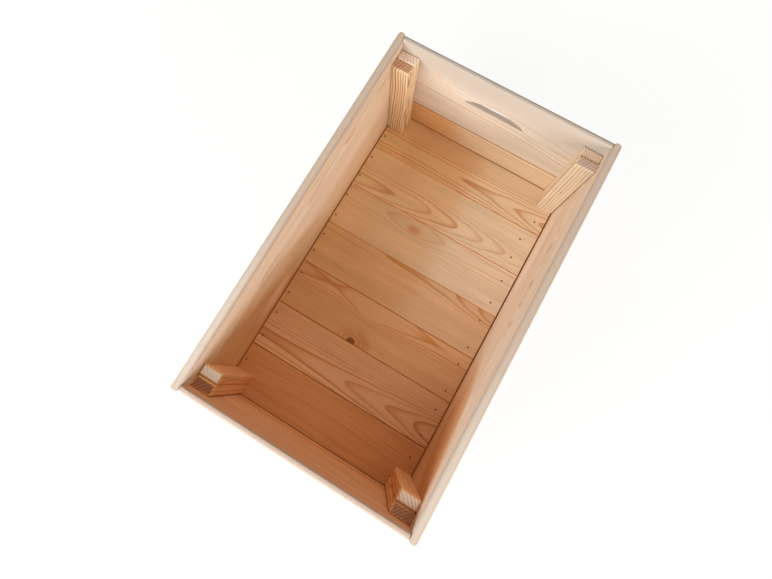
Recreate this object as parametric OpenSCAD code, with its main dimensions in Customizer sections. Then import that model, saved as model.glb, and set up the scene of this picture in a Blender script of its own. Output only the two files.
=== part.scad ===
// Kindling box: an open pine crate, nailed together from boards and battens.
//
// X runs along the box from the near end (-X) to the far end (+X),
// Y runs across it from the right wall (-Y) to the left wall (+Y), and Z is up.
// The origin is on the ground, under the middle of the box.

/* [Inside of the box] */
// Length between the two end walls
inner_length = 560; // [420:5:800]
// Width between the two side walls
inner_width = 330; // [240:5:450]
// Height from the top of the floor to the rim
inner_height = 245; // [232:1:320]

/* [Side walls] */
// Thickness of the side walls
side_t = 12; // [10:0.5:18]
// How far a side wall runs past the outer face of the end wall
side_overhang = 2; // [0:0.5:10]
// Rounding of the rim and of the upright ends of the side walls
side_rim_r = 5; // [2:0.5:6]

/* [End walls] */
// Thickness of the end wall boards
end_t = 8; // [6:0.5:16]
// Rounding of the rim of the end walls
end_rim_r = 3; // [1:0.5:4]
// Height above the floor of the lower joint of the far end wall
far_joint_low = 72; // [64:1:80]
// Height above the floor of the upper joint of the far end wall
far_joint_high = 152; // [146:1:156]
// Height above the floor of the lower joint of the near end wall
near_joint_low = 66; // [62:1:80]
// Height above the floor of the upper joint of the near end wall
near_joint_high = 151; // [146:1:156]
// Gap between two end wall boards
end_joint_gap = 0.4; // [0.2:0.1:1]
// Rounding of the board edges that meet in a lower joint
joint_low_r = 1; // [0.2:0.1:2]
// Rounding of the board edges that meet in an upper joint
joint_high_r = 0.3; // [0.2:0.1:2]

/* [Hand hole] */
// Width of the hand hole along its flat lower edge, before its thin tips are left off
hand_hole_width = 106; // [70:1:150]
// Height of the hand hole in its middle, under the arch
hand_hole_height = 20; // [14:0.5:30]
// Height of the lower edge of the hand hole above the floor
hand_hole_sill = 161; // [120:1:180]
// Length left off each thin tip of the arch
hand_hole_tip = 4; // [2:0.5:8]

/* [Floor] */
// Thickness of the floor planks
plank_t = 10; // [9:0.5:16]
// Gap between two planks
plank_gap = 1; // [0.2:0.1:3]
// Gap between the end of a plank and the side wall
plank_end_gap = 2; // [0.2:0.1:3]
// Width of the cleats that carry the planks
cleat_w = 32; // [30:1:45]
// Height of the cleats
cleat_h = 20; // [18:1:40]

/* [Corner posts] */
// Width of a corner post, across the box
post_w = 31; // [26:1:45]
// Thickness of a corner post, along the box
post_t = 17; // [15:0.5:24]
// Rounding of the upright edges of the posts
post_edge_r = 4; // [0.5:0.5:5]
// Rounding of the edges round the sawn top of a post
post_top_r = 3.5; // [0.5:0.5:4]
// Height of the outer post at the far left corner
far_left_height = 219; // [198:1:224]
// How much higher the inner post stands at the far left corner
far_left_step = 1; // [-6:1:6]
// Height of the outer post at the far right corner
far_right_height = 214; // [198:1:224]
// How much higher the inner post stands at the far right corner
far_right_step = 3; // [-6:1:6]
// Height of the outer post at the near left corner
near_left_height = 206; // [198:1:224]
// How much higher the inner post stands at the near left corner
near_left_step = -1; // [-6:1:6]
// Height of the outer post at the near right corner
near_right_height = 205; // [198:1:224]
// How much higher the inner post stands at the near right corner
near_right_step = 3; // [-6:1:6]

/* [Edges] */
// Rounding of the long edges and ends of boards, planks and battens
ease_r = 1.2; // [0.4:0.1:2]

/* [Nails] */
// Diameter of a nail's shank
nail_d = 1.8; // [1.2:0.1:2.4]
// Diameter of a nail's head
nail_head_d = 3.2; // [2.8:0.1:5]
// Thickness of a nail's head
nail_head_t = 1; // [0.6:0.1:1.5]
// Depth of a nail's head under the surface of the wood
nail_set = 0.6; // [0.2:0.1:1]
// Length of a nail's point
nail_point = 3; // [2:0.5:5]
// Diameter of the blunt end of a nail's point
nail_tip_d = 0.3; // [0.2:0.1:1]
// Length of the nails that hold the planks on the cleats
floor_nail_length = 26; // [18:1:26]
// Length of the nails in the faces of the inner posts
post_nail_length = 28; // [22:1:33]
// Length of the nails from the side walls into the posts
side_nail_length = 32; // [24:1:36]
// Length of the nails from the end walls into the outer posts
end_nail_length = 19; // [15:1:22]
// Length of the nails from the side walls into the cleats
cleat_nail_length = 30; // [22:1:35]
// Distance of a floor nail from the middle of its plank
floor_nail_offset = 20; // [12:1:24]
// Distance of the left row of floor nails from the left wall
floor_nail_inset_left = 8; // [8:1:18]
// Distance of the right row of floor nails from the right wall
floor_nail_inset_right = 19; // [8:1:20]
// Height above the floor of the nail in the face of an inner post
post_nail_height = 103; // [100:1:116]
// Height above the floor of the lower nail from a side wall into a post
side_nail_low = 34; // [28:1:40]
// Height above the floor of the upper nail from a side wall into a post
side_nail_high = 174; // [130:1:176]
// Height above the floor of the lowest nail in an end wall
end_nail_low = 14; // [10:1:20]
// Distance of the nails beside a joint of an end wall from the joint
end_nail_joint = 16; // [12:1:18]
// How much nearer the middle of the box the nails beside an upper joint are, to spare the grain
end_nail_stagger = 8; // [6:0.5:10]
// Height above the floor of the highest nail in an end wall
end_nail_high = 187; // [184:1:190]

/* [Hidden] */
$fn = 48;

// Colours of the bare wood and of the nails
side_pine = [0.84, 0.70, 0.56];
end_pine = [0.88, 0.76, 0.63];
post_pine = [0.83, 0.66, 0.49];
floor_pine = [0.78, 0.57, 0.38];
cleat_pine = [0.80, 0.64, 0.46];
nail_steel = [0.33, 0.31, 0.30];

// Half sizes and heights that the pieces share
half_length = inner_length / 2;
half_width = inner_width / 2;
floor_top = cleat_h + plank_t;
rim_z = floor_top + inner_height;
side_length = inner_length + 2 * (end_t + side_overhang);

// The floor has one plank to each of its seven nodes
plank_count = 7;
plank_pitch = inner_length / plank_count;

// Clearance by which a cutting shape runs past the face that it cuts
past = 1;

// Roundings of the rims, limited so that a flat of this width is left in the middle of the board's edge
rim_flat = 1;
rim_r = min(side_rim_r, (side_t - rim_flat) / 2);
end_r = min(end_rim_r, (end_t - rim_flat) / 2);

// How far each floor nail was struck off its place, along the box and away from its wall.
// A plank has a row, with its near and far nails on the left and then those on the right.
floor_nail_stray = [
  [[0, 0], [-8, 0], [0, -1], [-3, -2]],
  [[-2, 2], [1, 1], [-6, -1], [0, -2]],
  [[0, 1], [-1, 2], [-6, -2], [1, 0]],
  [[3, -1], [-4, -1], [-7, -1], [2, 3]],
  [[-4, -1], [-2, -3], [-3, 1], [-1, 2]],
  [[0, -2], [0, -1], [3, 7], [-1, 8]],
  [[6, -1], [0, 0], [-1, 0], [0, 2]]
];

// The arch of the hand hole is part of a circle of this radius
hand_hole_r = (pow(hand_hole_width / 2, 2) + pow(hand_hole_height, 2)) / (2 * hand_hole_height);

// Ways to turn a nail, which is modelled head up, so that it is driven along an axis
INTO_FLOOR = [0, 0, 0];
TO_FAR = [0, -90, 0];
TO_NEAR = [0, 90, 0];
TO_RIGHT = [-90, 0, 0];

// Middle of plank n, and of the outer (0) or inner (1) post of the far left corner
function plank_middle(n) = -half_length + (n - 0.5) * plank_pitch;
function post_x(row) = half_length - (row + 0.5) * post_t;
post_y = half_width - post_w / 2;

// Heights above the floor of the two joints of an end wall
function joint_low(end) = end > 0 ? far_joint_low : near_joint_low;
function joint_high(end) = end > 0 ? far_joint_high : near_joint_high;

// Heights of the nails below and above a joint
function beside(joint) = [joint - end_nail_joint, joint + end_nail_joint];

function floor_nail_inset(side) = side > 0 ? floor_nail_inset_left : floor_nail_inset_right;

// Stray of the near (0) or far (1) nail of plank n at a side
function nail_stray(n, side, half) = floor_nail_stray[n - 1][half + (side > 0 ? 0 : 2)];

// ---------- outlines ----------

// Rectangle round the origin with four rounded corners
module eased_rect(width, height, r) {
  square([width - 2 * r, height], center = true);
  square([width, height - 2 * r], center = true);
  for (side = [-1, 1], end = [-1, 1])
    translate([side * (width / 2 - r), end * (height / 2 - r)]) circle(r = r);
}

// Section of a board that stands on the origin, with its own rounding at the top and at the foot
module board_section(width, height, top_r, foot_r) {
  reach = 4 * max(top_r, foot_r);
  intersection() {
    translate([0, (height - reach) / 2]) eased_rect(width, height + reach, top_r);
    translate([0, (height + reach) / 2]) eased_rect(width, height + reach, foot_r);
  }
}

// Section of a batten that stands on its sawn foot, with rounded edges at the top only
module batten_section(width, height, top_r) {
  intersection() {
    translate([0, height / 2 - top_r]) eased_rect(width, height + 2 * top_r, top_r);
    translate([-width / 2, 0]) square([width, height]);
  }
}

// Outline of the hand hole: a flat sill under an arch, without the thin tips
module hand_hole_outline() {
  intersection() {
    translate([0, hand_hole_height - hand_hole_r]) circle(r = hand_hole_r, $fn = 180);
    translate([-hand_hole_width / 2 + hand_hole_tip, 0])
      square([hand_hole_width - 2 * hand_hole_tip, hand_hole_height + past]);
  }
}

// ---------- solids that are used again ----------

// Extrusion along Y of a section in X and Z
module along_y(length) {
  rotate([90, 0, 0]) linear_extrude(length, center = true) children();
}

// Extrusion along X of a section in Y and Z
module along_x(length) {
  rotate([90, 0, 90]) linear_extrude(length, center = true) children();
}

// Everything that stands in one corner is modelled at the far left and mirrored
module at_corner(end, side) {
  mirror([end < 0 ? 1 : 0, 0, 0]) mirror([0, side < 0 ? 1 : 0, 0]) children();
}

module nail(length) {
  head_foot = -nail_set - nail_head_t;
  shank = length - nail_set - nail_head_t - nail_point;
  translate([0, 0, head_foot]) cylinder(d = nail_head_d, h = nail_head_t);
  translate([0, 0, head_foot - shank]) cylinder(d = nail_d, h = shank);
  translate([0, 0, -length]) cylinder(d1 = nail_tip_d, d2 = nail_d, h = nail_point);
}

// The hole that a nail leaves: a pit for its sunk head and a bore for its shank
module nail_hole(length) {
  pit = nail_set + nail_head_t;
  translate([0, 0, -pit]) cylinder(d = nail_head_d, h = pit + past);
  translate([0, 0, -length]) cylinder(d = nail_d, h = length);
}

module driven(at, way) {
  translate(at) rotate(way) children();
}

// ---------- where the nails are ----------

// Two nails through one end of plank n, down into the cleat
module at_floor_nails(n, side) {
  for (half = [0, 1]) {
    stray = nail_stray(n, side, half);
    x = plank_middle(n) + (2 * half - 1) * floor_nail_offset + stray[0];
    y = side * (half_width - floor_nail_inset(side) - stray[1]);
    driven([x, y, floor_top], INTO_FLOOR) children();
  }
}

// One nail through the inner post of the far left corner into the outer one
module at_post_nail() {
  driven([half_length - 2 * post_t, post_y, floor_top + post_nail_height], TO_FAR) children();
}

// Two nails through the left wall into the edge of each post of the far left corner
module at_side_nails() {
  for (row = [0, 1], height = [side_nail_low, side_nail_high])
    driven([post_x(row), half_width + side_t, floor_top + height], TO_RIGHT) children();
}

// Two nails through each board of an end wall into the outer post of the far left corner
module at_end_nails(end) {
  for (height = concat(end_nail_low, beside(joint_low(end)), end_nail_high))
    driven([half_length + end_t, post_y, floor_top + height], TO_NEAR) children();
  for (height = beside(joint_high(end)))
    driven([half_length + end_t, post_y - end_nail_stagger, floor_top + height], TO_NEAR)
      children();
}

// A nail through the left wall into its cleat, under the middle of every second plank
module at_cleat_nails() {
  for (n = [1 : 2 : plank_count])
    driven([plank_middle(n), half_width + side_t, cleat_h / 2], TO_RIGHT) children();
}

module at_both_walls() {
  for (side = [-1, 1]) at_corner(1, side) children();
}

module at_all_corners() {
  for (end = [-1, 1], side = [-1, 1]) at_corner(end, side) children();
}

// ---------- walls ----------

// A wide board on edge, modelled as the left wall, with a rounded rim and rounded ends
module side_wall(side) {
  color(side_pine) at_corner(1, side) difference() {
    translate([0, half_width + side_t / 2, 0]) intersection() {
      along_x(side_length + 2 * past) board_section(side_t, rim_z, rim_r, ease_r);
      linear_extrude(rim_z) eased_rect(side_length, side_t, rim_r);
    }
    for (end = [-1, 1]) at_corner(end, 1) at_side_nails() nail_hole(side_nail_length);
    at_cleat_nails() nail_hole(cleat_nail_length);
  }
}

// One board of an end wall, from one height to another, modelled as the far wall.
// Only the far wall has the hand hole.
module end_board(end, foot_z, top_z, foot_r, top_r) {
  color(end_pine) at_corner(end, 1) difference() {
    translate([half_length + end_t / 2, 0, foot_z])
      along_y(inner_width) board_section(end_t, top_z - foot_z, top_r, foot_r);
    at_both_walls() at_end_nails(end) nail_hole(end_nail_length);
    if (end > 0) translate([half_length + end_t / 2, 0, floor_top + hand_hole_sill])
      along_x(end_t + 2 * past) hand_hole_outline();
  }
}

module end_board_upper(end) {
  end_board(end, floor_top + joint_high(end) + end_joint_gap / 2, rim_z, joint_high_r, end_r);
}

module end_board_middle(end) {
  end_board(end, floor_top + joint_low(end) + end_joint_gap / 2,
    floor_top + joint_high(end) - end_joint_gap / 2, joint_low_r, joint_high_r);
}

module end_board_lower(end) {
  end_board(end, 0, floor_top + joint_low(end) - end_joint_gap / 2, ease_r, joint_low_r);
}

// ---------- corner posts ----------

// An upright batten, modelled at the far left; the row is 0 against the end wall and 1 inside it
module post(end, side, row, height) {
  color(post_pine) at_corner(end, side) difference() {
    translate([post_x(row), post_y, floor_top]) intersection() {
      linear_extrude(height) eased_rect(post_t, post_w, post_edge_r);
      along_y(post_w) batten_section(post_t, height, post_top_r);
      along_x(post_t) batten_section(post_w, height, post_top_r);
    }
    at_post_nail() nail_hole(post_nail_length);
    at_side_nails() nail_hole(side_nail_length);
    at_end_nails(end) nail_hole(end_nail_length);
  }
}

// ---------- floor ----------

module floor_plank(n) {
  plank_width = plank_pitch - plank_gap;
  plank_length = inner_width - 2 * plank_end_gap;
  color(floor_pine) difference() {
    translate([plank_middle(n), 0, cleat_h]) intersection() {
      along_y(plank_length) board_section(plank_width, plank_t, ease_r, ease_r);
      along_x(plank_width) board_section(plank_length, plank_t, ease_r, ease_r);
    }
    for (side = [-1, 1]) at_floor_nails(n, side) nail_hole(floor_nail_length);
  }
}

// A strip along the foot of a side wall, which carries the ends of the planks
module floor_cleat(side) {
  color(cleat_pine) difference() {
    translate([0, side * (half_width - cleat_w / 2), 0])
      along_x(inner_length) board_section(cleat_w, cleat_h, ease_r, ease_r);
    for (n = [1 : plank_count]) at_floor_nails(n, side) nail_hole(floor_nail_length);
    at_corner(1, side) at_cleat_nails() nail_hole(cleat_nail_length);
  }
}

// ---------- nails ----------

module floor_nails() {
  color(nail_steel)
    for (n = [1 : plank_count], side = [-1, 1]) at_floor_nails(n, side) nail(floor_nail_length);
}

module post_nails() {
  color(nail_steel) at_all_corners() at_post_nail() nail(post_nail_length);
}

module side_wall_nails() {
  color(nail_steel) at_all_corners() at_side_nails() nail(side_nail_length);
}

module end_wall_nails() {
  color(nail_steel) for (end = [-1, 1], side = [-1, 1])
    at_corner(end, side) at_end_nails(end) nail(end_nail_length);
}

module cleat_nails() {
  color(nail_steel) at_both_walls() at_cleat_nails() nail(cleat_nail_length);
}

side_wall(1);  // side_wall_left
side_wall(-1);  // side_wall_right
end_board_upper(1);  // end_board_far_upper
end_board_middle(1);  // end_board_far_middle
end_board_lower(1);  // end_board_far_lower
end_board_upper(-1);  // end_board_near_upper
end_board_middle(-1);  // end_board_near_middle
end_board_lower(-1);  // end_board_near_lower
post(1, 1, 0, far_left_height);  // post_far_left_outer
post(1, 1, 1, far_left_height + far_left_step);  // post_far_left_inner
post(1, -1, 0, far_right_height);  // post_far_right_outer
post(1, -1, 1, far_right_height + far_right_step);  // post_far_right_inner
post(-1, 1, 0, near_left_height);  // post_near_left_outer
post(-1, 1, 1, near_left_height + near_left_step);  // post_near_left_inner
post(-1, -1, 0, near_right_height);  // post_near_right_outer
post(-1, -1, 1, near_right_height + near_right_step);  // post_near_right_inner
floor_plank(1);  // floor_plank_1
floor_plank(2);  // floor_plank_2
floor_plank(3);  // floor_plank_3
floor_plank(4);  // floor_plank_4
floor_plank(5);  // floor_plank_5
floor_plank(6);  // floor_plank_6
floor_plank(7);  // floor_plank_7
floor_cleat(1);  // floor_cleat_left
floor_cleat(-1);  // floor_cleat_right
floor_nails();
post_nails();
side_wall_nails();
end_wall_nails();
cleat_nails();
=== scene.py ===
# %% [markdown]
# # Kindling box
# An open crate of planed pine, nailed together: two wide side walls with rounded rims,
# two end walls of three boards each, one of them with a half-moon hand hole, a pair of
# posts in each corner, and a floor of seven cross planks on two hidden cleats. The
# boards come from the frame at their real size, so this script gives them their wood,
# sets the light and the camera, and adds nothing that would change their shape.

# %% Load the frame
import math
import bpy
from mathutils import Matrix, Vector


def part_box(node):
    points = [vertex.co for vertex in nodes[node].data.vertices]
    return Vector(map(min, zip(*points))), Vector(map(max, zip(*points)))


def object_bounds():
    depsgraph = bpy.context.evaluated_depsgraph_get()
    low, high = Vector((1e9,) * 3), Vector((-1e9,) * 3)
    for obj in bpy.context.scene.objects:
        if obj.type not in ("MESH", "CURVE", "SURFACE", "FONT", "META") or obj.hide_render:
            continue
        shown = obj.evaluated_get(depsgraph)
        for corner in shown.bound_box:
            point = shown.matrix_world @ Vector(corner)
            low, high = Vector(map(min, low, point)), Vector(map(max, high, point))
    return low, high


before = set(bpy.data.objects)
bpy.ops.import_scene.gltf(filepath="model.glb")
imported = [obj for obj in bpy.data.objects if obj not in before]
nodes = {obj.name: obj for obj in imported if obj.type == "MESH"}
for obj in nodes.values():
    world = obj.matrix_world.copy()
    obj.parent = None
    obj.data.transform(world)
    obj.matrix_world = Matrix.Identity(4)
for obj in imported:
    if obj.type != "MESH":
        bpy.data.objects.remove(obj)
cad_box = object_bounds()
MM = 0.001
print("frame:", len(nodes), "nodes, box", [[round(c / MM, 1) for c in corner] for corner in cad_box])

# %% [markdown]
# ## Helpers for colours and nodes
# Wood colours are easiest to read as the hex values of a colour picker, but shaders work
# in linear light, so one function turns them. Nodes could be made and wired one line at a
# time, but then the wiring hides the recipe. So one function adds a node together
# with its settings and its links, and a material reads from top to bottom.


# %% Helpers for colours and nodes
def linear(hex_colour):
    """sRGB hex to a linear RGBA colour: each channel goes through the sRGB curve."""
    channels = [int(hex_colour[i:i + 2], 16) / 255 for i in (0, 2, 4)]
    rgb = [c / 12.92 if c <= 0.04045 else ((c + 0.055) / 1.055) ** 2.4 for c in channels]
    return (*rgb, 1.0)


def add(tree, kind, inputs=(), out=0, **settings):
    """Adds a node, sets it up and feeds its inputs from values or sockets.
    Returns one of its outputs, or the node itself where out is None.
    """
    node = tree.nodes.new("ShaderNode" + kind)
    for name, value in settings.items():
        setattr(node, name, value)
    pairs = inputs.items() if isinstance(inputs, dict) else enumerate(inputs)
    for key, value in pairs:
        if isinstance(value, bpy.types.NodeSocket):
            tree.links.new(value, node.inputs[key])
        else:
            node.inputs[key].default_value = value
    return node if out is None else node.outputs[out]


def new_material(name):
    """An empty node material and its tree."""
    material = bpy.data.materials.new(name)
    material.use_nodes = True
    material.node_tree.nodes.clear()
    return material, material.node_tree


# A Mix node has one set of sockets for each kind of data, all with the same names, so
# those for colours go by number: the share of the second colour, and the two colours.
SHARE, FIRST, SECOND = 0, 6, 7
COLOURS = dict(data_type="RGBA", out=2)
WHITE = "ffffff"
print("half grey, 808080, is", round(linear("808080")[0], 3), "in linear light")

# %% [markdown]
# ## Camera
# The photograph looks down into the box from about a metre above its floor, a little
# from the near right side. A camera could be aimed at a target, but this eye point and
# these three angles were worked out from the corners of the floor and the rims, so they
# are typed in. The small shift moves the frame without turning the camera, as the lens
# of an architect's camera does.

# %% Camera
EYE_MM = (-156.7, -35.8, 1085.6)
TURN_DEG = (15.308, 0.631, -59.386)
FOCAL_MM, SENSOR_MM, CLIP_MM = 29.227, 36.0, 20.0
SHIFT = (0.03015, -0.10240)

camera_data = bpy.data.cameras.new("camera")
camera_data.lens, camera_data.sensor_width = FOCAL_MM, SENSOR_MM
camera_data.shift_x, camera_data.shift_y = SHIFT
camera_data.clip_start = CLIP_MM * MM
camera = bpy.data.objects.new("camera", camera_data)
camera.location = Vector(EYE_MM) * MM
camera.rotation_euler = [math.radians(a) for a in TURN_DEG]
bpy.context.scene.collection.objects.link(camera)
bpy.context.scene.camera = camera
print("camera", round(camera.location.z, 3), "m up, lens", FOCAL_MM, "mm")

# %% [markdown]
# ## Light
# The inside of the box tells where the light stands. Both long walls are in shade near
# the near end and lit beyond a slanting line: about forty degrees steep on the right
# wall and thirty on the left. A bright room would light both ends alike, and small lamps
# would draw hard lines. So two big soft lamps stand behind the near end, one to the left
# and one lower to the right, and two weak ones fill from the far end and from above.

# %% Softboxes
LAMP_DISTANCE = 2.0
BOX_MIDDLE = Vector((0, 0, 0.14))
SOFTBOXES = {
    # name: (compass angle from +X, height angle, width and height in metres, watts, colour)
    "softbox_left": (148, 35, 1.35, 0.85, 43.5, "f5ffff"),
    "softbox_right": (227, 24, 0.95, 0.85, 29.0, "fffffc"),
    "fill_far": (0, 40, 1.20, 1.20, 11.5, "f6f4e9"),
    "fill_above": (270, 72, 1.40, 1.40, 6.4, "fffbdd"),
}

for name, (turn, lift, width, height, watts, tint) in SOFTBOXES.items():
    lamp = bpy.data.lights.new(name, "AREA")
    lamp.shape, lamp.size, lamp.size_y, lamp.energy = "RECTANGLE", width, height, watts
    lamp.color = linear(tint)[:3]
    turn, lift = math.radians(turn), math.radians(lift)
    aim = Vector((math.cos(lift) * math.cos(turn), math.cos(lift) * math.sin(turn), math.sin(lift)))
    softbox = bpy.data.objects.new(name, lamp)
    softbox.location = BOX_MIDDLE + LAMP_DISTANCE * aim
    softbox.rotation_euler = aim.to_track_quat("Z", "Y").to_euler()
    softbox.visible_camera = False
    bpy.context.scene.collection.objects.link(softbox)
    print(name, [round(c, 2) for c in softbox.location])

# %% [markdown]
# ## Room and backdrop
# The box stands before pure white. A white world would give that, but it would also light
# the wood from all sides, and cool the near end, where wood is mostly lit by other wood
# and turns warmer with each bounce. So the world is white only for the rays that show it
# to the eye. For the light that falls on the wood it is a dim, warm room.

# %% Room and backdrop
ROOM_TINT, ROOM_STRENGTH = "ffdfaf", 0.09
BACKDROP_STRENGTH = 1.0


def seen_by_eye(tree):
    """1 for rays that show a thing to the eye: straight, mirrored or through glass."""
    rays = add(tree, "LightPath", out=None).outputs
    seen = add(tree, "Math", [rays["Is Camera Ray"], rays["Is Glossy Ray"]])
    return add(tree, "Math", [seen, rays["Is Transmission Ray"]], use_clamp=True)


world = bpy.data.worlds.new("white_room")
bpy.context.scene.world = world
world.use_nodes = True
tree = world.node_tree
tree.nodes.clear()
room = add(tree, "Background", [linear(ROOM_TINT), ROOM_STRENGTH])
backdrop = add(tree, "Background", [linear(WHITE), BACKDROP_STRENGTH])
surface = add(tree, "MixShader", [seen_by_eye(tree), room, backdrop])
add(tree, "OutputWorld", [surface], out=None)
bpy.context.scene.view_settings.view_transform = "Standard"
print("room strength", ROOM_STRENGTH, "behind a backdrop of", BACKDROP_STRENGTH)

# %% [markdown]
# ## White sheet under the box
# A product photo stands on a white sheet that is lit until it is as bright as the
# backdrop. Lighting it that much would spoil the wood. So most of what the eye gets from
# this sheet is a glow of its own, and the rest is lit paper, which darkens where the box
# shades it. Straight under the box the glow is painted shade, as brown as the wood around
# it, or white paper would show through the joints of the floor.

# %% White sheet
SHEET_HALF = 4.0                        # metres
PAPER, PAPER_ROUGHNESS = "f4f2ee", 0.3
GLOW, GLOW_SHARE = 1.03, 0.87           # strength of the glow, and its share beside lit paper
# painted shade: straight under the box the sheet glows in the brown of pine in deep shade
UNDER_BOX_SHADE = "6a3d20"                    # pine in deep shade
UNDER_INSET, UNDER_BLUR = 22 * MM, 4 * MM

high = cad_box[1]
half_x, half_y = high.x - UNDER_INSET, high.y - UNDER_INSET
corners = [(x * SHEET_HALF, y * SHEET_HALF, 0) for x, y in ((-1, -1), (1, -1), (1, 1), (-1, 1))]
sheet_mesh = bpy.data.meshes.new("white_sheet")
sheet_mesh.from_pydata(corners, [], [(0, 1, 2, 3)])
sheet = bpy.data.objects.new("white_sheet", sheet_mesh)
bpy.context.scene.collection.objects.link(sheet)

material, tree = new_material("white_matt_paper")
paper = add(tree, "BsdfDiffuse", [linear(PAPER), PAPER_ROUGHNESS])
spot = add(tree, "VectorMath", [add(tree, "TexCoord", out="Object")], operation="ABSOLUTE")
beyond = add(tree, "VectorMath", [spot, (half_x, half_y, 0)], operation="SUBTRACT")
beyond = add(tree, "SeparateXYZ", [beyond], out=None).outputs
edge = add(tree, "Math", [beyond["X"], beyond["Y"]], operation="MAXIMUM")
open_air = add(tree, "MapRange", [edge, -UNDER_BLUR, UNDER_BLUR, 0.0, 1.0])
shades = {SHARE: open_air, FIRST: linear(UNDER_BOX_SHADE), SECOND: linear(WHITE)}
shade = add(tree, "Mix", shades, **COLOURS)
glow = add(tree, "Emission", [shade, GLOW])
share = add(tree, "Math", [seen_by_eye(tree), GLOW_SHARE], operation="MULTIPLY")
add(tree, "OutputMaterial", [add(tree, "MixShader", [share, paper, glow])], out=None)
sheet_mesh.materials.append(material)
print("sheet glows white outside", round(half_x / MM), "x", round(half_y / MM), "mm")

# %% [markdown]
# ## Pine, from the tree to the board
# A board is a slice out of a trunk, and its figure is the slice's cut through the
# trunk's rings. Stretched noise gives streaks, but never the pointed arches on this
# floor, which joiners call cathedrals, and a picture of wood ends at every edge. So the
# material rebuilds the trunk. For each point of a board it works out the distance to
# the pith, the trunk's middle line, and counts rings outward. Where the pith runs level
# under a face the rings show as straight lines, and where it climbs or dips they close
# into arches. The recipe is solid: the end grain on a sawn top and the figure on a
# rounded rim come out of the same rings, with nothing to wrap.

# %% Where the boards lie
AXES = {"x": 0, "y": 1, "z": 2}
NEAR_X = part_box("end_board_near_lower")[1].x / MM
FAR_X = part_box("end_board_far_lower")[0].x / MM
LEFT_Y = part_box("side_wall_left")[0].y / MM
RIGHT_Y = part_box("side_wall_right")[1].y / MM
FLOOR_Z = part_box("floor_plank_4")[1].z / MM
RIM_Z = cad_box[1].z / MM
print("inside: x", round(NEAR_X, 1), round(FAR_X, 1), "y", round(RIGHT_Y, 1), round(LEFT_Y, 1),
      "z", round(FLOOR_Z, 1), round(RIM_Z, 1))

# %% [markdown]
# ## Directions of a board
# A joiner speaks of a board along its grain, across it and deep into it, and so does the
# recipe. Each board could be turned to lie along one axis, but its place has to stay in
# its mesh. So a short text such as "+y+x-z" says which axes of the frame are its three
# directions. Depth is counted outward from the face that looks into the box.


# %% Directions of a board
def board_directions(tree, axes, zero):
    """Where a point lies in its board, and which way the surface looks there.
    Each place is the sign times the way from zero along one axis, in mm. Returns the places
    along, across and deep, the same three as one vector, the parts of the surface's
    direction on the same axes, and the sign of the axis that leads outward.
    """
    letters = axes[1::2]
    signs = {letter: 1 if sign == "+" else -1 for sign, letter in zip(axes[::2], letters)}
    scale = [signs[letter] / MM for letter in "xyz"]
    shift = [-signs[letter] * zero[AXES[letter]] for letter in "xyz"]
    coords = add(tree, "TexCoord", out=None).outputs
    in_mm = add(tree, "VectorMath", [coords["Object"], scale, shift], operation="MULTIPLY_ADD")
    parts = [add(tree, "SeparateXYZ", [socket], out=None) for socket in (in_mm, coords["Normal"])]
    place, look = ([part.outputs[AXES[letter]] for letter in letters] for part in parts)
    return place, add(tree, "CombineXYZ", place), look, signs[letters[2]]


print("a plank runs along +y, across +x and deep -z, so its axes are +y+x-z")

# %% [markdown]
# ## The pith's line
# A trunk is never straight, so the pith drifts and dips under a board. Its line is typed
# as a few points. A shader has no curve through points in space, but a colour ramp with a
# cardinal curve is one in disguise: the position is the way along the board, red holds
# the pith's depth and green its place across.

# %% The pith's line
ACROSS_SHIFT, ACROSS_SPAN, DEPTH_SPAN = 150.0, 900.0, 160.0


def pith_line(tree, along, pith):
    """Place across and depth of the pith, in mm, for a place along the board.
    Green is (across + shift) / span and red is depth / span, so both stay from 0 to 1.
    """
    first, last = pith[0][0], pith[-1][0]
    position = add(tree, "MapRange", [along, first, last, 0.0, 1.0])
    ramp = add(tree, "ValToRGB", [position], out=None)
    ramp.color_ramp.interpolation = "CARDINAL"
    stops = ramp.color_ramp.elements
    while len(stops) < len(pith):
        stops.new(0.5)
    for stop, (u, v, depth) in zip(stops, pith):
        stop.position = (u - first) / (last - first)
        stop.color = (depth / DEPTH_SPAN, (v + ACROSS_SHIFT) / ACROSS_SPAN, 0, 1)
    line = add(tree, "SeparateColor", [ramp.outputs[0]], out=None).outputs
    across = add(tree, "Math", [line["Green"], ACROSS_SPAN, -ACROSS_SHIFT], operation="MULTIPLY_ADD")
    return across, add(tree, "Math", [line["Red"], DEPTH_SPAN], operation="MULTIPLY")


print("pith: from", -ACROSS_SHIFT, "to", ACROSS_SPAN - ACROSS_SHIFT, "mm across and", DEPTH_SPAN, "deep")

# %% [markdown]
# ## Counting rings
# The rings of one tree hold about the same area of wood, so they get thinner outward.
# They could be counted by distance, but then the lines near the edge of a board stand too
# wide. So the count is the square of the distance over one ring's area. A slow noise
# lets the lines stray as real ones do, and at a knot, where a branch grew out of the
# trunk, they bend aside.

# %% Counting rings
BEND_MM = 30.0                          # size of the lines' bends, across the grain
STRAY_SEED = 3.7                        # moves the noise by unlike steps in two directions
BULGE_RINGS, BULGE_RADII = 0.8, 3.5     # how far a knot pushes the rings, and its reach
BULGE_OVAL = 0.5                        # width over length of that bulge


def oval_distance(tree, offset, along_scale, across_scale):
    """Length of an offset on the face after each direction is scaled, so 1 is an oval's rim."""
    offset = add(tree, "VectorMath", [offset, (along_scale, across_scale, 0)], operation="MULTIPLY")
    return add(tree, "VectorMath", [offset], operation="LENGTH", out="Value")


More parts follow.
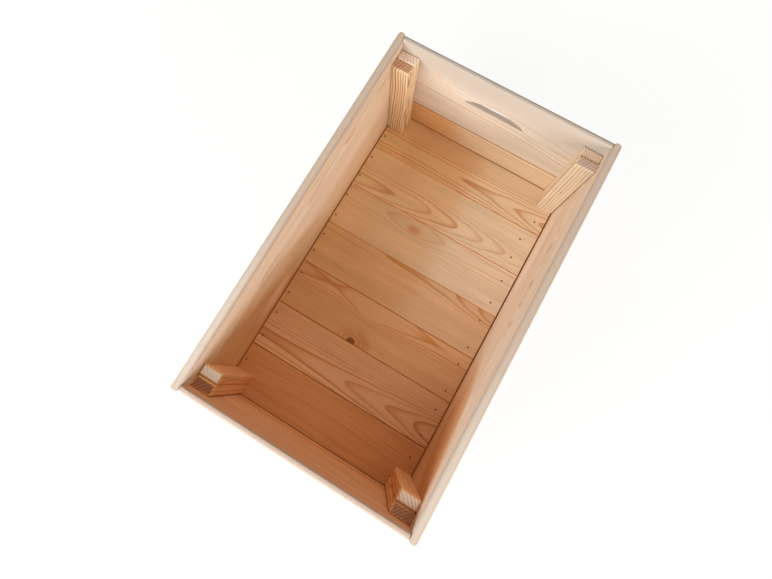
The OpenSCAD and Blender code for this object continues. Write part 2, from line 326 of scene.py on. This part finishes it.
def count_rings(tree, place, flow, pith, area, phase, wander, wave, knots, seed):
    """Square of the distance to the pith, and the number of rings on the way.
    The number is the square over the area, plus a slow noise, less a bulge at each knot.
    """
    along, across, deep = place
    pith_across, pith_depth = pith_line(tree, along, pith)
    sideways = add(tree, "Math", [across, pith_across], operation="SUBTRACT")
    inward = add(tree, "Math", [pith_depth, deep], operation="SUBTRACT")
    arm = add(tree, "CombineXYZ", [sideways, inward, 0.0])
    square = add(tree, "VectorMath", [arm, arm], operation="DOT_PRODUCT", out="Value")
    bends = (1 / wave, 1 / BEND_MM, 1 / BEND_MM)
    stray = add(tree, "VectorMath", [flow, bends, (seed, STRAY_SEED * seed, 0)], operation="MULTIPLY_ADD")
    stray = add(tree, "TexNoise", {"Vector": stray, "Scale": 1.0, "Detail": 2.0, "Roughness": 0.5})
    stray = add(tree, "Math", [stray, wander, phase - wander / 2], operation="MULTIPLY_ADD")
    count = add(tree, "Math", [square, 1 / area, stray], operation="MULTIPLY_ADD")
    for u, v, radius, _, _ in knots:
        away = add(tree, "VectorMath", [flow, (u, v, 0)], operation="SUBTRACT")
        away = oval_distance(tree, away, BULGE_OVAL / radius, 1 / radius)
        bulge = add(tree, "MapRange", [away, 0.0, BULGE_RADII, BULGE_RINGS, 0.0],
                    interpolation_type="SMOOTHERSTEP")
        count = add(tree, "Math", [count, bulge], operation="SUBTRACT")
    return square, count


print("at 200 square mm a ring, over pi, ring 5 is", round(math.sqrt(5 * 200), 1), "mm from the pith")

# %% [markdown]
# ## One ring
# A ring is one year: pale spring wood that turns slowly into a narrow, darker line of
# summer wood, and then a sharp end where winter came. A sine would make both sides of the
# line alike, which looks like stripes of paint. So one curve rises slowly and a second
# one falls at once, and a little luck makes some years stronger than others.

# %% One ring
SUMMER_START, SUMMER_PEAK = 0.30, 0.93  # shares of the ring
SUMMER_POWER = 2.4                      # keeps the line narrow
WEAK_YEAR = 0.6                         # strength of the weakest line
LUCK_SEED = 7.3                         # gives each board other strong years


def summer_wood(tree, square, count, contrast, fade, seed):
    """How much summer wood a point has, from 0 to the contrast.
    It is (smooth rise ** power) * smooth fall, times the year's luck, times the fade, which
    runs in straight pieces between its pairs of squared distance and strength.
    """
    part = add(tree, "Math", [count], operation="FRACT")
    year = add(tree, "Math", [count], operation="FLOOR")
    year = add(tree, "Math", [year, LUCK_SEED * seed])
    luck = add(tree, "TexWhiteNoise", {"W": year}, noise_dimensions="1D")
    smooth = dict(interpolation_type="SMOOTHSTEP")
    rise = add(tree, "MapRange", [part, SUMMER_START, SUMMER_PEAK, 0.0, 1.0], **smooth)
    fall = add(tree, "MapRange", [part, SUMMER_PEAK, 1.0, 1.0, 0.0], **smooth)
    rise = add(tree, "Math", [rise, SUMMER_POWER], operation="POWER")
    line = add(tree, "Math", [rise, fall], operation="MULTIPLY")
    power = add(tree, "MapRange", [luck, 0.0, 1.0, WEAK_YEAR * contrast, contrast])
    for (start, before), (end, after) in zip(fade, fade[1:]):
        top = max(before, after)
        piece = add(tree, "MapRange", [square, start, end, before / top, after / top])
        power = add(tree, "Math", [power, piece], operation="MULTIPLY")
    return add(tree, "Math", [line, power], operation="MULTIPLY")


print("summer wood: the last", round(100 * (1 - SUMMER_START)), "per cent of a ring")

# %% [markdown]
# ## Fibres and clouds
# Spring and summer wood alike are bundles of fibres, which give the surface its fine
# streaks, and a board's tone drifts from one hand's breadth to the next. Real fibres are
# far too fine to show at this size, so these are drawn 2 mm wide. Both could be one noise
# with much detail, but two noises can each have their own length along the grain.

# %% Fibres and clouds
FIBRE_MM = (80, 2.0, 2.0)               # along, across, deep
CLOUD_MM = (240, 18, 18)
NOISE_RANGE = (0.3, 0.7)                # a noise hardly ever leaves this range
FIBRE_GAIN, CLOUD_GAIN = (0.91, 1.09), (0.94, 1.06)
CLOUD_SEED = 2.1                        # moves the clouds along the grain


def with_fibres(tree, wood, flow, seed):
    """The wood's colour times the gain of its fibres and of its clouds, and the fibres' noise."""
    thin = add(tree, "VectorMath", [flow, [1 / size for size in FIBRE_MM]], operation="MULTIPLY")
    fibre = add(tree, "TexNoise", {"Vector": thin, "Scale": 1.0, "Detail": 2.0, "Roughness": 0.6})
    wide = [flow, [1 / size for size in CLOUD_MM], (CLOUD_SEED * seed, seed, 0)]
    wide = add(tree, "VectorMath", wide, operation="MULTIPLY_ADD")
    cloud = add(tree, "TexNoise", {"Vector": wide, "Scale": 1.0, "Detail": 2.0})
    for noise, gain in ((fibre, FIBRE_GAIN), (cloud, CLOUD_GAIN)):
        gain = add(tree, "MapRange", [noise, *NOISE_RANGE, *gain])
        wood = add(tree, "VectorMath", {0: wood, "Scale": gain}, operation="SCALE")
    return wood, fibre


print("fibres", FIBRE_MM[0], "mm long, clouds", CLOUD_MM[0], "mm long")

# %% [markdown]
# ## Bands, tones and stains
# No board has one colour. A rim is greyer, and resin leaves soft brown spots. Many of the
# tones and the wide ovals are painted shade and painted light: the wood is warmer and darker
# where the walls shade it, and paler where the lamps or the floor light it. They could be
# painted into a picture for each board, but 25 pictures are a lot to wrap and to keep. So
# each is a short row of numbers in the board's own millimetres: a band that comes in across
# it, or a soft oval.

# %% Bands, tones and stains
TONE_CORE, PATCH_CORE = 0.6, 0.0        # share of an oval that has its full strength


def with_stains_and_painted_light(tree, wood, across, flow, bands, tones, patches):
    """The wood with its bands and patches blended in and its tones multiplied in. Many of them are
    painted shade or painted light.
    An oval's strength falls smoothly from its core to its rim, where the distance is 1.
    """
    for start, end, colour, strength in bands:
        band = add(tree, "MapRange", [across, start, end, 0.0, strength], interpolation_type="SMOOTHSTEP")
        wood = add(tree, "Mix", {SHARE: band, FIRST: wood, SECOND: linear(colour)}, **COLOURS)
    ovals = [("MULTIPLY", TONE_CORE, *tone) for tone in tones]
    ovals += [("MIX", PATCH_CORE, *patch) for patch in patches]
    for blend, core, u, v, length, width, slope, colour, strength in ovals:
        away = add(tree, "VectorMath", [flow, (u, v, 0)], operation="SUBTRACT")
        away = add(tree, "VectorRotate", {"Vector": away, "Angle": math.radians(-slope)},
                   rotation_type="Z_AXIS")
        away = oval_distance(tree, away, 2 / length, 2 / width)
        stain = add(tree, "MapRange", [away, core, 1.0, strength, 0.0], interpolation_type="SMOOTHSTEP")
        wood = add(tree, "Mix", {SHARE: stain, FIRST: wood, SECOND: linear(colour)},
                   blend_type=blend, **COLOURS)
    return wood


print("a tone keeps its full strength over", TONE_CORE, "of its half length")

# %% [markdown]
# ## Knots
# A knot is the foot of a branch: a dark oval with a ragged outline, and fine rings of
# its own that fade into the wood around it. It could be modelled as a bump, but a plane
# leaves it level with the rest of the board, so it is only a change of colour.

# %% Knots
KNOT_OVAL = 0.7                         # width over length
KNOT_LUMP_MM = 4.0                      # size of the lumps of its outline
DISC_EDGE = (0.4, 1.2)                  # where the dark middle fades, in radii
SWIRL_REACH = (1.0, 4.5)                # where the rings round it fade, in radii
SWIRL_RINGS, SWIRL_SHARE = 1.1, 0.9     # rings to a radius, and their strength


def with_knots(tree, wood, flow, knots, late):
    """The wood with each knot on it.
    A noise from 0 to 1, times the knot's size and less half of it, bends the distance from
    the middle. The fraction of that distance gives the rings, and a smooth fall the disc.
    """
    for u, v, radius, colour, strength in knots:
        away = add(tree, "VectorMath", [flow, (u, v, 0)], operation="SUBTRACT")
        lumps = {"Vector": flow, "Scale": 1 / KNOT_LUMP_MM, "Detail": 2.0}
        lumps = add(tree, "TexNoise", lumps, out="Color")
        size = Vector((radius, KNOT_OVAL * radius, 0))
        away = add(tree, "VectorMath", [lumps, size, away], operation="MULTIPLY_ADD")
        away = add(tree, "VectorMath", [away, 0.5 * size], operation="SUBTRACT")
        away = oval_distance(tree, away, KNOT_OVAL / radius, 1 / radius)
        disc = add(tree, "MapRange", [away, *DISC_EDGE, strength, 0.0], interpolation_type="SMOOTHSTEP")
        swirl = add(tree, "Math", [away, SWIRL_RINGS], operation="MULTIPLY")
        swirl = add(tree, "Math", [swirl], operation="FRACT")
        fading = add(tree, "MapRange", [away, *SWIRL_REACH, SWIRL_SHARE * strength, 0.0],
                     interpolation_type="SMOOTHSTEP")
        swirl = add(tree, "Math", [swirl, fading], operation="MULTIPLY")
        wood = add(tree, "Mix", {SHARE: swirl, FIRST: wood, SECOND: linear(late)}, **COLOURS)
        wood = add(tree, "Mix", {SHARE: disc, FIRST: wood, SECOND: linear(colour)}, **COLOURS)
    return wood


print("a knot's rings end", SWIRL_REACH[1], "radii from its middle")

# %% [markdown]
# ## Sawn ends and edges
# A saw across the grain leaves open pores, which drink dirt, so the end of a board is a
# colour of its own and its rings are darker there. The planed edges in a joint hold dust
# and shade. Both could be separate materials, but then the frame's meshes would have to
# be cut up. The direction of the surface tells them apart just as well.

# %% Sawn ends and edges
CUT_TURN = (0.9, 0.99)                  # a face looks along an axis from here on
SAWN_RING = 0.4                         # how dark the rings are on a sawn end


def with_ends_and_edges(tree, wood, summer, look, end_tone, edge_tone):
    """The wood with its sawn ends and planed edges, and the mask of the edges.
    A mask is 1 where the size of the direction's part on that axis is 1.
    """
    dark = [SAWN_RING * c for c in linear(end_tone)[:3]] + [1.0]
    sawn = add(tree, "Mix", {SHARE: summer, FIRST: linear(end_tone), SECOND: dark}, **COLOURS)
    sizes = [add(tree, "Math", [part], operation="ABSOLUTE") for part in look[:2]]
    ends, edges = (add(tree, "MapRange", [size, *CUT_TURN, 0.0, 1.0]) for size in sizes)
    wood = add(tree, "Mix", {SHARE: ends, FIRST: wood, SECOND: sawn}, **COLOURS)
    wood = add(tree, "Mix", {SHARE: edges, FIRST: wood, SECOND: linear(edge_tone)},
               blend_type="MULTIPLY", **COLOURS)
    return wood, edges


print("sawn ends start", round(math.degrees(math.acos(CUT_TURN[0]))), "degrees from the grain")

# %% [markdown]
# ## Planed pine
# The boards are bare softwood from a planing machine: smooth to the hand and never
# varnished, so they are matt, with a faint sheen where light grazes them. Summer wood is
# harder than spring wood and takes a little more polish, and a bump that is as fine as
# a hair gives its lines an edge. Tones and stains lie on the inner faces alone, and the
# outer ones have the common colour of pine. Light also soaks through wood at a thin
# edge. A renderer could follow it inside the wood, but that is slow and noisy in a
# narrow joint, so there the edges simply glow very faintly brown: a painted light. Where
# the inner face of a wall runs down into the slit beside the floor, it is painted a shaded
# brown and glows in the same way, and a rounded edge that turns away from the inside can
# be darkened with a painted shade.

# %% Planed pine
LATE_PINE = "c07233"                    # summer wood: the narrow orange brown line
OUTER_PINE = "d8b591"                   # spring wood on the outer face
# painted shade: the foot of a wall in the slit beside the floor is painted this brown
FOOT_SHADE = "9c5220"                    # the foot of a wall, in the slit beside the floor
SAWN_PINE = "cfa684"                    # a sawn end
OUTER_TURN, INNER_TURN = (0.6, 0.95), (-0.95, -0.99)    # where a face is outer or inner
AWAY_TURN = (0.2, 0.42)                 # where a rounding has turned away from the inside
FOOT_MM = (-1.0, 0.5)                   # the foot's upper end, from the top of the floor
SPRING_ROUGHNESS, SUMMER_ROUGHNESS = 0.62, 0.52         # planed softwood is 0.5 to 0.7
PINE_IOR, PINE_SPECULAR = 1.5, 0.15     # bare wood mirrors less than its IOR says
SUMMER_DIP, RELIEF_STRENGTH, RELIEF_MM = -0.5, 0.2, 0.3  # the dip is a share of a fibre's height


def planed_pine(name, axes, zero, pith, area, seed, early, late=LATE_PINE, phase=0.0, contrast=0.7,
                fade=(), wander=0.5, wave=150, knots=(), tones=(), patches=(), bands=(), soak=None,
                sunk=False, away_shade=None, edge_tone=WHITE, end_tone=SAWN_PINE):
    """Bare planed pine for one board. Lengths are in mm.
    axes, zero: the board's three directions, such as "+y+x-z", and their origin
    pith: points (along, across, depth) that the pith passes; area: a ring's area over pi
    seed: moves every noise; early, late: colours of spring and summer wood
    phase: shifts the count, in rings; contrast: strength of the strongest line
    fade: pairs (squared distance, strength) from the pith outward
    wander, wave: how far the lines stray, in rings, and the length of one bend
    knots: (along, across, radius, colour, strength)
    patches: (along, across, length, width, slope, colour, strength), blended in
    tones: the same, but multiplied in and full over most of their reach; mostly painted shade
    bands: (from, to, colour, strength), a colour that comes in across the board
    soak: colour of the faint glow on edges in a joint, a painted light; sunk: the glow is on
    the foot of the inner face instead, below the top of the floor, where the wood is painted a shaded
    brown
    away_shade: painted shade, multiplied in where a rounded edge turns away from the inside
    edge_tone: multiplied in on the planed edges; end_tone: colour of the sawn ends
    """
    material, tree = new_material(name)
    place, flow, look, outward = board_directions(tree, axes, zero)
    square, count = count_rings(tree, place, flow, pith, area, phase, wander, wave, knots, seed)
    summer = summer_wood(tree, square, count, contrast, fade, seed)

    outer = add(tree, "MapRange", [look[2], *(outward * turn for turn in OUTER_TURN), 0.0, 1.0])
    spring = add(tree, "Mix", {SHARE: outer, FIRST: linear(early), SECOND: linear(OUTER_PINE)}, **COLOURS)
    wood = add(tree, "Mix", {SHARE: summer, FIRST: spring, SECOND: linear(late)}, **COLOURS)
    plain, fibre = with_fibres(tree, wood, flow, seed)
    # bands, tones and ovals: stains, and much painted shade and painted light
    wood = with_stains_and_painted_light(tree, plain, place[1], flow, bands, tones, patches)
    wood = add(tree, "Mix", {SHARE: outer, FIRST: wood, SECOND: plain}, **COLOURS)
    # painted shade, where a rounding turns away from the inside
    if away_shade:
        away = add(tree, "MapRange", [look[2], *(outward * turn for turn in AWAY_TURN), 0.0, 1.0])
        away = add(tree, "Math", [away, outer], operation="SUBTRACT", use_clamp=True)
        wood = add(tree, "Mix", {SHARE: away, FIRST: wood, SECOND: linear(away_shade)},
                   blend_type="MULTIPLY", **COLOURS)
    wood = with_knots(tree, wood, flow, knots, late)
    wood, glowing = with_ends_and_edges(tree, wood, summer, look, end_tone, edge_tone)
    # painted shade and painted light: the foot of the inner face, in the slit beside the floor, is
    # painted brown and glows faintly
    if sunk:
        foot = add(tree, "MapRange", [place[1], *FOOT_MM, 1.0, 0.0])
        inner = add(tree, "MapRange", [look[2], *(outward * turn for turn in INNER_TURN), 0.0, 1.0])
        glowing = add(tree, "Math", [foot, inner], operation="MULTIPLY")
        wood = add(tree, "Mix", {SHARE: glowing, FIRST: wood, SECOND: linear(FOOT_SHADE)}, **COLOURS)
    # painted light: the faint glow of the edges in a joint, or of a wall's foot
    glow = {"Emission Color": linear(soak), "Emission Strength": glowing} if soak else {}

    height = add(tree, "Math", [summer, SUMMER_DIP, fibre], operation="MULTIPLY_ADD")
    relief = {"Strength": RELIEF_STRENGTH, "Distance": RELIEF_MM * MM, "Height": height}
    relief = add(tree, "Bump", relief)
    rough = add(tree, "MapRange", [summer, 0.0, 1.0, SPRING_ROUGHNESS, SUMMER_ROUGHNESS])
    shader = add(tree, "BsdfPrincipled", {"Base Color": wood, "Roughness": rough, "Normal": relief,
                                          "IOR": PINE_IOR, "Specular IOR Level": PINE_SPECULAR, **glow})
    add(tree, "OutputMaterial", [shader], out=None)
    return material


def dress(node_name, material):
    """Puts one material in every slot of a node from the frame."""
    for slot in nodes[node_name].material_slots:
        slot.material = material


print("pine: roughness", SUMMER_ROUGHNESS, "to", SPRING_ROUGHNESS)

# %% [markdown]
# ## Floor planks
# Seven planks lie across the box, and each has its own figure. Places on the floor are
# measured from the near right corner: along the plank from the right wall, across it
# from the near wall. The planks could share one trunk, but each was cut from another.
# So each has a pith line that was found from its arches: an arch closes where the pith's
# depth squared reaches the ring, and its legs give the rest.

# %% Floor planks
JOINT_SHADE = "a8683c"                  # dust and shade in the joints of the floor
FLOOR = dict(axes="+y+x-z", zero=(NEAR_X, RIGHT_Y, FLOOR_Z),
             edge_tone=JOINT_SHADE, end_tone=JOINT_SHADE)
# painted shade: the planks near the near wall are warmer and darker, and the tones on planks 4 to 7 warm
# and darken them towards the left wall; each soak colour is a painted glow in the joints
PLANKS = {
    1: dict(
        pith=[(0, 22, 48), (160, 30, 46), (330, 26, 49)],
        area=420, phase=0.3, contrast=0.32, seed=1.3, early="d59463", soak="471a05", wander=0.8),
    2: dict(
        pith=[(0, 104, 14.5), (45, 104, 22.5), (97, 103.5, 27.2), (170, 103, 31.0),
              (250, 103, 33.3), (330, 103.5, 34)],
        area=255, phase=-3.77, contrast=0.9, seed=2.1, early="e4b18a", soak="5a2a0c", wander=0.25),
    3: dict(
        pith=[(0, 230, 34.6), (75, 230, 34.3), (115, 230, 32.5), (155, 230, 29.6),
              (186, 230, 25.2), (210, 230, 30.4), (255, 230, 34.3), (330, 230, 32.8)],
        fade=((1040, 0.02), (1050, 1.0), (1500, 1.0), (1900, 0.6), (2500, 0.15)),
        area=165, phase=-7.27, contrast=1.0, seed=3.4, early="daa478", soak="8c4c1c", wander=0.25,
        knots=[(190, 163.5, 6.5, "6b3717", 0.85)],
        patches=[(75, 228.5, 130, 11, 3, "c27b3f", 0.45), (275, 228, 150, 18, -6, "cb8848", 0.35),
                 (172, 174, 60, 26, 40, "b9703f", 0.3)]),
    4: dict(
        pith=[(0, 318, 27.6), (30, 318, 30), (55, 318, 31.8), (80, 318, 33.6), (130, 318, 35.2),
              (215, 318, 36.1), (330, 318, 37)],
        fade=((1320, 1.0), (1700, 0.12)),
        area=185, phase=-6.03, contrast=0.8, seed=4.2, early="d8ab86", soak="7a4410", wander=0.3,
        tones=[(290, 280, 350, 500, 0, "fff7e1", 1.0), (212, 280, 190, 500, 0, "f7f4f6", 0.85)],
        patches=[(150, 287, 420, 13, 3.5, "b98352", 0.22)]),
    5: dict(
        pith=[(0, 385, 32), (80, 385, 31.3), (132, 385, 30), (190, 385, 26.5), (250, 385, 30),
              (330, 385, 31)],
        area=200, phase=-4.5, contrast=0.45, seed=5.5, early="e5c6ab", soak="9c6a34", wander=0.4,
        tones=[(290, 360, 350, 500, 0, "fff1da", 1.0), (212, 360, 190, 500, 0, "f6f4f6", 0.85)],
        patches=[(193, 380.5, 40, 24, 0, "c4744a", 0.7)]),
    6: dict(
        pith=[(0, 423, 39.5), (36, 423, 37.5), (79, 423, 34.2), (127, 423.3, 30.6),
              (180, 422.5, 26.5), (220, 421, 22.6), (247, 419, 21.5), (315, 415.5, 18.5),
              (330, 414.5, 18)],
        fade=((1000, 1.0), (1900, 0.3)),
        area=236, phase=-2.97, contrast=0.68, seed=6.1, early="e9cbae", soak="9a5f2b", wander=0.2,
        tones=[(290, 440, 350, 500, 0, "fff6de", 1.0), (211, 440, 170, 500, 0, "f9f0ee", 0.85)]),
    7: dict(
        pith=[(0, 500, 21.9), (25, 500.5, 23.9), (50, 502, 26), (75, 503, 27), (100, 504, 28.9),
              (165, 505, 30), (250, 506, 30.6), (330, 506, 30.2)],
        fade=((1300, 1.0), (1900, 0.7), (3000, 0.4)),
        area=190, phase=-4.74, contrast=0.85, seed=7.7, early="e8c8a6", soak="a06c3c", wander=0.25,
        tones=[(290, 520, 350, 500, 0, "ffefd6", 1.0), (211, 520, 170, 500, 0, "f4eeec", 0.85)]),
}
for number, grain in PLANKS.items():
    dress(f"floor_plank_{number}", planed_pine(f"planed_pine_plank_{number}", **FLOOR, **grain))
print("floor planks:", len(PLANKS))

# %% [markdown]
# ## Side walls
# Each long wall is one wide board, with faint long arches high on its inside and a
# greyer rim. One long pith line gives the arches on the right wall only in part,
# so a row of brown patches marks their tips. The warm slanting tones are painted shade: they
# deepen the soft shadows that the lamps throw across both walls. The wide pale ovals low on
# the walls are painted light that the floor throws back, and the foot of each wall is painted
# a shaded brown in the slit beside the floor, where it also glows faintly. Places on a wall are
# measured from its left end as seen from inside, and up from the floor.

# %% Side walls
SIDE_WALLS = {
    "side_wall_left": dict(
        axes="+x+z+y", zero=(NEAR_X, LEFT_Y, FLOOR_Z),
        pith=[(-20, 175, 44), (200, 180, 41), (400, 196, 34), (600, 200, 26)],
        area=300, contrast=0.5, seed=11.2, early="edd8c2", soak="653c14", sunk=True,
        # painted shade: the slanting warm tones; painted light: the wide pale ovals low on the wall
        tones=[(50, 40, 520, 290, -29, "fce3c4", 1.0), (200, 96, 400, 120, -33, "f3e7d7", 1.0)],
        patches=[(190, 173, 110, 8, 0, "b98a60", 0.4), (318, 222, 90, 8, -12, "bd8f63", 0.45),
                 (345, 202, 80, 7, -18, "bd8f63", 0.4), (410, 172, 90, 7, -10, "c0936a", 0.3),
                 (490, 200, 90, 8, 6, "bd8f63", 0.3), (400, 40, 420, 130, 0, "f6d7b4", 0.9),
                 (160, 35, 140, 70, 0, "fbe0c6", 0.8), (410, 115, 340, 100, 0, "fde6d2", 0.6),
                 (80, 251, 460, 26, 0, "dacec5", 0.85), (250, 247, 170, 4, 0, "a98871", 0.5),
                 (440, 249, 200, 4, 0, "a98871", 0.5)],
        bands=[(236, 241, "c6ae9f", 1.0)]),
    "side_wall_right": dict(
        axes="-x+z-y", zero=(FAR_X, RIGHT_Y, FLOOR_Z),
        pith=[(-20, 165, 28), (120, 165, 36), (300, 166, 46), (600, 170, 50)],
        area=260, contrast=0.45, seed=12.9, early="efdac6", soak="583310", sunk=True,
        # painted shade: the slanting warm tones; painted light: the wide pale ovals low on the wall
        tones=[(170, 120, 420, 110, 0, "fcf8f3", 1.0), (525, 50, 600, 320, 40, "f9ddb8", 0.75),
               (438, 113, 326, 138, 34, "f6dabc", 1.0)],
        patches=[(78, 168, 22, 18, 0, "bf9468", 0.3), (143, 165, 28, 26, 0, "b3854f", 0.65),
                 (203, 164, 22, 26, 0, "b3854f", 0.7), (238, 165, 18, 24, 0, "b3854f", 0.65),
                 (269, 166, 16, 22, 0, "b98c5c", 0.65), (110, 222, 70, 8, 6, "bf9a78", 0.5),
                 (230, 218, 90, 7, -4, "bf9a78", 0.5), (350, 226, 90, 9, 3, "bba08a", 0.45),
                 (120, 45, 260, 100, 0, "fdeadb", 0.6), (368, 40, 120, 80, 0, "fbdcc0", 0.4),
                 (482, 35, 110, 70, 0, "f4c9a4", 0.3), (480, 251, 460, 26, 0, "d6cac0", 0.8),
                 (150, 247, 190, 4, 0, "a5876f", 0.5), (330, 249, 170, 4, 0, "a5876f", 0.5)],
        bands=[(236, 241, "c4ad9f", 1.0)]),
}
for name, grain in SIDE_WALLS.items():
    dress(name, planed_pine("planed_pine_" + name, **grain))
print("side walls:", ", ".join(SIDE_WALLS))

# %% [markdown]
# ## End walls
# Each end wall is three boards, one above the other. On the far one the upper two are
# smooth pale wood with fine lines that fall towards the right, so they share a pith that
# falls, and the lowest is warmer. The upper board is painted greyer towards its top and
# along its rim, and darker where its rounded rim turns away from the inside: painted shade.
# A warm tone at the left end of the lowest board, and a dark band along the foot of both
# lowest boards, are painted shade. The inside of the near one faces away from the lamps,
# and three simple warm boards are enough there: their warm colour is painted shade, and
# their outer faces keep the common colour of pine. A tone as thin as a line darkens the
# sill of the hand hole, a painted shade.

# %% End walls
FAR_WALL = dict(axes="-y+z+x", zero=(FAR_X, LEFT_Y, FLOOR_Z))
NEAR_WALL = dict(axes="+y+z-x", zero=(NEAR_X, RIGHT_Y, FLOOR_Z))
FAR_PALE = dict(
    FAR_WALL, pith=[(-10, 222, 30), (120, 214, 32), (210, 210, 31), (300, 192, 30), (345, 186, 30)],
    fade=((900, 0.4), (6000, 1.0)), seed=13.5, early="dccdbd")
END_BOARDS = {
    "end_board_far_upper": dict(
        # painted shade: the greyer top and rim, the darker outward rounding and the dark sill
        FAR_PALE, area=900, contrast=0.55, away_shade="302a26",
        tones=[(165, 161, 140, 3, 0, "d4d0d6", 1.0)],
        patches=[(64, 196, 12, 46, 12, "dfb389", 0.5), (84, 176, 14, 40, 35, "dcb48f", 0.4),
                 (270, 205, 60, 14, 24, "dfba97", 0.45)],
        bands=[(165, 220, "c6b8ac", 1.0), (242, 245, "b8a79d", 1.0)]),
    "end_board_far_middle": dict(FAR_PALE, area=1700, contrast=0.6),
    "end_board_far_lower": dict(
        FAR_WALL, pith=[(-10, 90, 60), (170, 92, 60), (345, 88, 60)],
        area=640, phase=0.45, seed=14.1, early="e4caab", soak="653c14", sunk=True,
        # painted shade: the warm tone at the left end and the dark band at the foot
        tones=[(0, 30, 300, 300, 0, "ffe3bf", 1.0)],
        bands=[(4, 0, "6b3a1c", 0.6), (69.5, 71.5, "74451f", 0.7)]),
    "end_board_near_upper": dict(
        # painted shade: the warm inner colour of the near boards and the dark foot of the lowest
        NEAR_WALL, pith=[(-10, 190, 40), (170, 196, 42), (345, 188, 40)],
        area=500, seed=15.8, early="e3ac86", bands=[(240, 244, "c2a89c", 1.0)]),
    "end_board_near_middle": dict(
        NEAR_WALL, pith=[(-10, 120, 44), (170, 112, 42), (345, 118, 40)],
        area=480, seed=17.2, early="e7b287"),
    "end_board_near_lower": dict(
        NEAR_WALL, pith=[(-10, 30, 52), (170, 34, 52), (345, 28, 52)],
        area=460, contrast=0.8, seed=16.6, early="e5ac7c", soak="4c280c", sunk=True,
        bands=[(12, 0, "7a421f", 0.6)]),
}
for name, grain in END_BOARDS.items():
    dress(name, planed_pine("planed_pine_" + name, **grain))
print("end boards:", len(END_BOARDS))

# %% [markdown]
# ## Corner posts and cleats
# The posts are narrow battens cut so that the rings stand almost square to their inner
# face, which shows as eight or so straight stripes. So their pith lies beside the batten,
# not under it. Their tops are sawn across and show the rings themselves. Most are darker
# than the planed faces, those of the two near inner posts are much paler, and those of the
# two near outer ones darker still. The faces of the near posts are warmer than the far
# ones: a painted shade of the near end. The cleats under the floor are the same wood, and
# hardly any light reaches them; their strong orange is painted warm shade, so that the
# slits beside the floor look brown.

# %% Corner posts
FIRST_POST_SEED = 20.3                  # each post adds its number to it
POSTS = {
    "far_left_inner": dict(
        pith=[(-40, -62, 34), (120, -58, 32), (260, -60, 34)], area=640, contrast=1.0,
        late="7e4820", wander=1.0, wave=40, early="edcda6", end_tone="c99376"),
    "far_left_outer": dict(
        pith=[(-40, 70, 30), (120, 74, 34), (260, 70, 30)], area=480, contrast=0.6,
        early="f7dfbe", end_tone="e8cabd"),
    "far_right_inner": dict(
        pith=[(-40, 78, 44), (120, 78.5, 44), (260, 79, 44)], area=600,
        late="a06a38", early="e2cbb0", end_tone="ccab9e"),
    "far_right_outer": dict(
        pith=[(-40, -38, 52), (120, -38, 51), (260, -38, 52)], area=520,
        early="eed4b3", end_tone="e2c2b1"),
    # painted shade: the near posts' warmer faces
    "near_left_inner": dict(
        pith=[(-40, -50, 54), (120, -48, 52), (260, -52, 54)], area=640, contrast=0.35,
        early="ecb17e", end_tone="fff2ee"),
    "near_left_outer": dict(
        pith=[(-40, 64, 54), (120, 66, 54), (260, 64, 54)], area=560, contrast=0.9,
        early="f6bd88", end_tone="af7862"),
    "near_right_inner": dict(
        pith=[(-40, 70, 54), (120, 72, 56), (260, 70, 54)], area=640, contrast=0.85,
        early="efb785", end_tone="ffe2d4"),
    "near_right_outer": dict(
        pith=[(-40, -34, 56), (120, -34, 52), (260, -34, 56)], area=520, contrast=1.0,
        early="fcc68e", end_tone="bd8972"),
}
for number, (name, grain) in enumerate(POSTS.items()):
    low, high = (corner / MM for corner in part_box("post_" + name))
    left, far = "left" in name, "far" in name
    axes = "+z" + ("-y" if left else "+y") + ("+x" if far else "-x")
    zero = (low.x if far else high.x, high.y if left else low.y, FLOOR_Z)
    dress("post_" + name, planed_pine("planed_pine_post_" + name, axes, zero,
                                      seed=FIRST_POST_SEED + number, **grain))
print("posts:", len(POSTS))

# %% Cleats
CLEAT_SEED = 30.7                       # each cleat adds its place across the box
for side in ("left", "right"):
    low, high = (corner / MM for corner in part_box("floor_cleat_" + side))
    # painted shade: the cleats' strong orange keeps the slits beside the floor brown
    dress("floor_cleat_" + side, planed_pine(
        "sawn_pine_cleat_" + side, "+x+y-z", (low.x, low.y, high.z),
        pith=[(0, 16, 34), (300, 18, 36), (600, 16, 34)],
        area=320, seed=CLEAT_SEED + low.y, early="dc8c44", edge_tone=JOINT_SHADE))
    print("cleat", side, "starts at y", round(low.y, 1), "mm")

# %% [markdown]
# ## Nails
# Only the heads show, as dark dots a few millimetres wide. They are drawn steel wire that
# has gone dull and a little rusty. Black paint would give the same dots from one side,
# but a dark brown metal with a wide gloss also catches the lamps as the real ones do.

# %% Dull steel wire
SPECKS_PER_METRE = 900.0
DULL_STEEL, RUSTY_STEEL = "5e3a24", "8a5c3e"
STEEL_ROUGHNESS = (0.42, 0.62)

material, tree = new_material("dull_steel_wire")
coords = add(tree, "TexCoord", out="Object")
specks = add(tree, "TexNoise", {"Vector": coords, "Scale": SPECKS_PER_METRE, "Detail": 3.0})
steels = {SHARE: specks, FIRST: linear(DULL_STEEL), SECOND: linear(RUSTY_STEEL)}
tone = add(tree, "Mix", steels, **COLOURS)
rough = add(tree, "MapRange", [specks, *NOISE_RANGE, *STEEL_ROUGHNESS])
shader = add(tree, "BsdfPrincipled", {"Base Color": tone, "Metallic": 1.0, "Roughness": rough})
add(tree, "OutputMaterial", [shader], out=None)
nail_groups = [name for name in nodes if "nails" in name]
for name in nail_groups:
    dress(name, material)
print("nails:", ", ".join(nail_groups))
